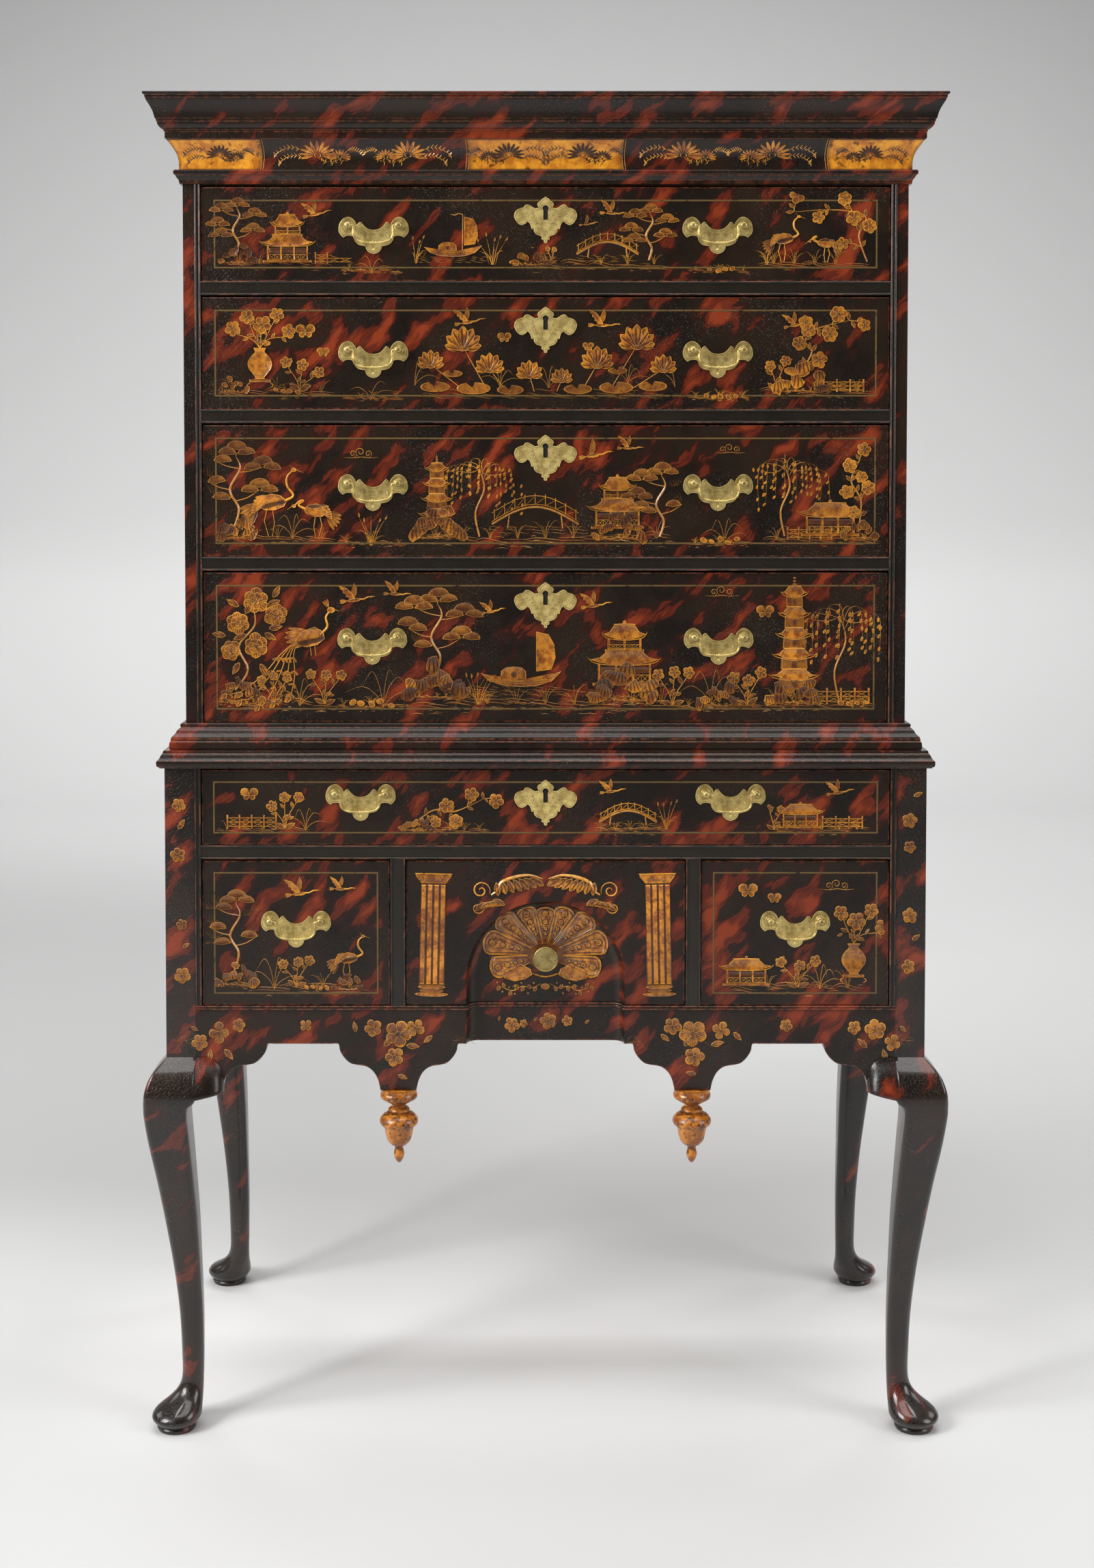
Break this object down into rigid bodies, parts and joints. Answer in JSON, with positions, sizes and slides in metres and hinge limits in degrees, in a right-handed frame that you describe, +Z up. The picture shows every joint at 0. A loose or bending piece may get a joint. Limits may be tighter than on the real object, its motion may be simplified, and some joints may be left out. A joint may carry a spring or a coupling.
{
  "type": "tall chest on legs",
  "caption": "Tall chest in two cases: long drawers over small ones, shaped skirt with drops, cabriole legs and a deep cornice; sliding drawers and swinging bail pulls.",
  "frame": {"origin": "on the floor, under the middle of the chest", "axes": "+Z up, +X to the right as seen from the front, +Y to the back; drawers open towards -Y"},
  "size_m": [1.1046, 0.5732, 1.8215],
  "materials": {
    "japanned_wood": "glossy dark tortoiseshell japanning with red streaks and gilt ornament",
    "bare_pine": "unfinished aged pine",
    "gilt_wood": "worn amber gilding",
    "brass": "satin aged brass"
  },
  "bodies": {
    "case": {"upper_side_left": "japanned_wood", "upper_side_right": "japanned_wood", "upper_top_board": "bare_pine", "upper_bottom_board": "bare_pine", "upper_rail_1": "japanned_wood", "upper_rail_2": "japanned_wood", "upper_rail_3": "japanned_wood", "upper_back_board": "bare_pine", "lower_back_board": "bare_pine", "cornice": "japanned_wood", "base_moulding": "japanned_wood", "waist_rail": "japanned_wood", "leg_front_left": "japanned_wood", "leg_front_right": "japanned_wood", "leg_back_left": "japanned_wood", "leg_back_right": "japanned_wood", "lower_side_left": "japanned_wood", "lower_side_right": "japanned_wood", "front_skirt": "japanned_wood", "lower_rail": "japanned_wood", "pendant_left": "gilt_wood", "pendant_right": "gilt_wood"},
    "drawer_1": {"drawer_1": "japanned_wood", "drawer_1_pull_left": "brass", "drawer_1_pull_right": "brass", "drawer_1_escutcheon": "brass"},
    "drawer_1_bail_left": {"drawer_1_bail_left": "brass"},
    "drawer_1_bail_right": {"drawer_1_bail_right": "brass"},
    "drawer_2": {"drawer_2": "japanned_wood", "drawer_2_pull_left": "brass", "drawer_2_pull_right": "brass", "drawer_2_escutcheon": "brass"},
    "drawer_2_bail_left": {"drawer_2_bail_left": "brass"},
    "drawer_2_bail_right": {"drawer_2_bail_right": "brass"},
    "drawer_3": {"drawer_3": "japanned_wood", "drawer_3_pull_left": "brass", "drawer_3_pull_right": "brass", "drawer_3_escutcheon": "brass"},
    "drawer_3_bail_left": {"drawer_3_bail_left": "brass"},
    "drawer_3_bail_right": {"drawer_3_bail_right": "brass"},
    "drawer_4": {"drawer_4": "japanned_wood", "drawer_4_pull_left": "brass", "drawer_4_pull_right": "brass", "drawer_4_escutcheon": "brass"},
    "drawer_4_bail_left": {"drawer_4_bail_left": "brass"},
    "drawer_4_bail_right": {"drawer_4_bail_right": "brass"},
    "long_drawer": {"long_drawer": "japanned_wood", "long_drawer_pull_left": "brass", "long_drawer_pull_right": "brass", "long_drawer_escutcheon": "brass"},
    "long_drawer_bail_left": {"long_drawer_bail_left": "brass"},
    "long_drawer_bail_right": {"long_drawer_bail_right": "brass"},
    "small_drawer_left": {"small_drawer_left": "japanned_wood", "small_drawer_left_pull": "brass"},
    "small_drawer_left_bail": {"small_drawer_left_bail": "brass"},
    "small_drawer_right": {"small_drawer_right": "japanned_wood", "small_drawer_right_pull": "brass"},
    "small_drawer_right_bail": {"small_drawer_right_bail": "brass"},
    "middle_drawer": {"middle_drawer": "japanned_wood", "middle_drawer_knob": "brass"}
  },
  "joints": [
    {"name": "drawer_1_slide", "type": "slide", "parent": "case", "child": "drawer_1", "axis": [0, -1, 0], "range_m": [0, 0.36]},
    {"name": "drawer_1_bail_left_swing", "type": "hinge", "parent": "drawer_1", "child": "drawer_1_bail_left", "pos_m": [-0.233, -0.23903, 1.6478], "axis": [-1, 0, 0], "range_deg": [-20, 165]},
    {"name": "drawer_1_bail_right_swing", "type": "hinge", "parent": "drawer_1", "child": "drawer_1_bail_right", "pos_m": [0.233, -0.23903, 1.6478], "axis": [-1, 0, 0], "range_deg": [-20, 165]},
    {"name": "drawer_2_slide", "type": "slide", "parent": "case", "child": "drawer_2", "axis": [0, -1, 0], "range_m": [0, 0.36]},
    {"name": "drawer_2_bail_left_swing", "type": "hinge", "parent": "drawer_2", "child": "drawer_2_bail_left", "pos_m": [-0.234, -0.23903, 1.4801], "axis": [-1, 0, 0], "range_deg": [-20, 165]},
    {"name": "drawer_2_bail_right_swing", "type": "hinge", "parent": "drawer_2", "child": "drawer_2_bail_right", "pos_m": [0.234, -0.23903, 1.4801], "axis": [-1, 0, 0], "range_deg": [-20, 165]},
    {"name": "drawer_3_slide", "type": "slide", "parent": "case", "child": "drawer_3", "axis": [0, -1, 0], "range_m": [0, 0.36]},
    {"name": "drawer_3_bail_left_swing", "type": "hinge", "parent": "drawer_3", "child": "drawer_3_bail_left", "pos_m": [-0.235, -0.23903, 1.2995], "axis": [-1, 0, 0], "range_deg": [-20, 165]},
    {"name": "drawer_3_bail_right_swing", "type": "hinge", "parent": "drawer_3", "child": "drawer_3_bail_right", "pos_m": [0.235, -0.23903, 1.2995], "axis": [-1, 0, 0], "range_deg": [-20, 165]},
    {"name": "drawer_4_slide", "type": "slide", "parent": "case", "child": "drawer_4", "axis": [0, -1, 0], "range_m": [0, 0.36]},
    {"name": "drawer_4_bail_left_swing", "type": "hinge", "parent": "drawer_4", "child": "drawer_4_bail_left", "pos_m": [-0.2365, -0.23903, 1.0895], "axis": [-1, 0, 0], "range_deg": [-20, 165]},
    {"name": "drawer_4_bail_right_swing", "type": "hinge", "parent": "drawer_4", "child": "drawer_4_bail_right", "pos_m": [0.2365, -0.23903, 1.0895], "axis": [-1, 0, 0], "range_deg": [-20, 165]},
    {"name": "long_drawer_slide", "type": "slide", "parent": "case", "child": "long_drawer", "axis": [0, -1, 0], "range_m": [0, 0.38]},
    {"name": "long_drawer_bail_left_swing", "type": "hinge", "parent": "long_drawer", "child": "long_drawer_bail_left", "pos_m": [-0.251, -0.26453, 0.8794], "axis": [-1, 0, 0], "range_deg": [-20, 165]},
    {"name": "long_drawer_bail_right_swing", "type": "hinge", "parent": "long_drawer", "child": "long_drawer_bail_right", "pos_m": [0.251, -0.26453, 0.8794], "axis": [-1, 0, 0], "range_deg": [-20, 165]},
    {"name": "small_drawer_left_slide", "type": "slide", "parent": "case", "child": "small_drawer_left", "axis": [0, -1, 0], "range_m": [0, 0.38]},
    {"name": "small_drawer_left_bail_swing", "type": "hinge", "parent": "small_drawer_left", "child": "small_drawer_left_bail", "pos_m": [-0.33945, -0.26453, 0.706], "axis": [-1, 0, 0], "range_deg": [-20, 165]},
    {"name": "small_drawer_right_slide", "type": "slide", "parent": "case", "child": "small_drawer_right", "axis": [0, -1, 0], "range_m": [0, 0.38]},
    {"name": "small_drawer_right_bail_swing", "type": "hinge", "parent": "small_drawer_right", "child": "small_drawer_right_bail", "pos_m": [0.33945, -0.26453, 0.706], "axis": [-1, 0, 0], "range_deg": [-20, 165]},
    {"name": "middle_drawer_slide", "type": "slide", "parent": "case", "child": "middle_drawer", "axis": [0, -1, 0], "range_m": [0, 0.38]}
  ]
}
